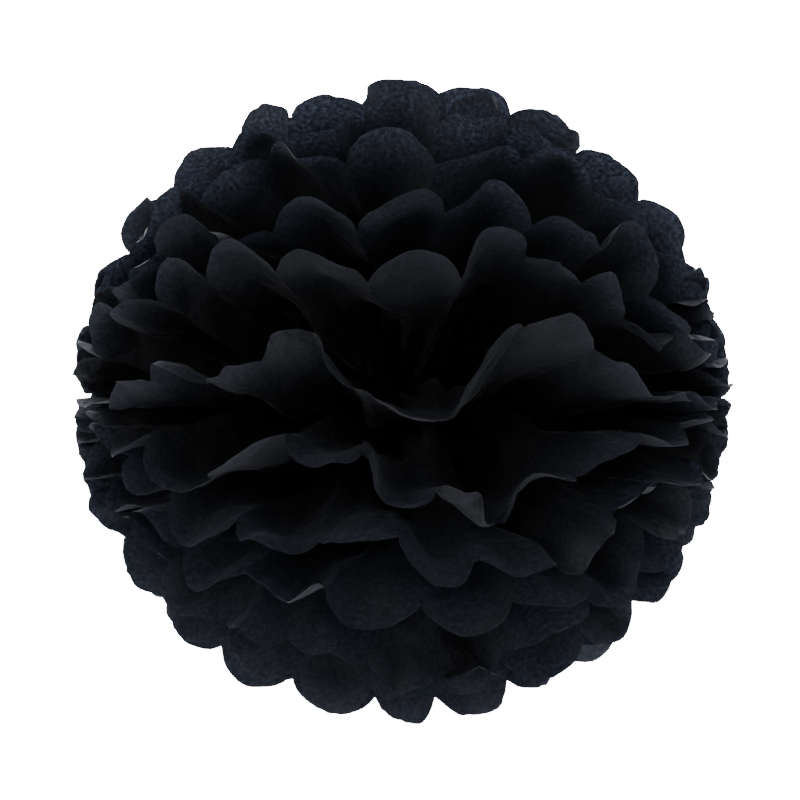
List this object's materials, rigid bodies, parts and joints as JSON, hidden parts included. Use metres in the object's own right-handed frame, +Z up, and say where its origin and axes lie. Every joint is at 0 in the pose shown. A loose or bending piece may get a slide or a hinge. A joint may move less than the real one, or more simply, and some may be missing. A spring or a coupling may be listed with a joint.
{
  "type": "tissue paper pom pom",
  "caption": "Round hanging decoration of black pleated tissue sheets, cut round at both ends, tied across the middle and fanned out into a full ball of ruffled petals.",
  "frame": {"origin": "centre of the wire tie, where every sheet is pinched together", "axes": "+Z up the stack of pleats, through the middle of the upper fans; +X along the line the fans open from, to the right seen from the front; -Y out of the front mouth between the upper and lower fans"},
  "size_m": [0.2522, 0.246, 0.2496],
  "materials": {
    "black_tissue": "thin dry tissue, matt, lightly translucent where light comes from behind",
    "coated_wire": "black lacquered florist wire, satin"
  },
  "bodies": {
    "root": {"tissue_sheet_01": "black_tissue", "tissue_sheet_02": "black_tissue", "tissue_sheet_03": "black_tissue", "tissue_sheet_04": "black_tissue", "tissue_sheet_05": "black_tissue", "tissue_sheet_06": "black_tissue", "tissue_sheet_07": "black_tissue", "tissue_sheet_08": "black_tissue", "tissue_sheet_09": "black_tissue", "tissue_sheet_10": "black_tissue", "tissue_sheet_11": "black_tissue", "tissue_sheet_12": "black_tissue", "tie_wire": "coated_wire"}
  },
  "joints": []
}
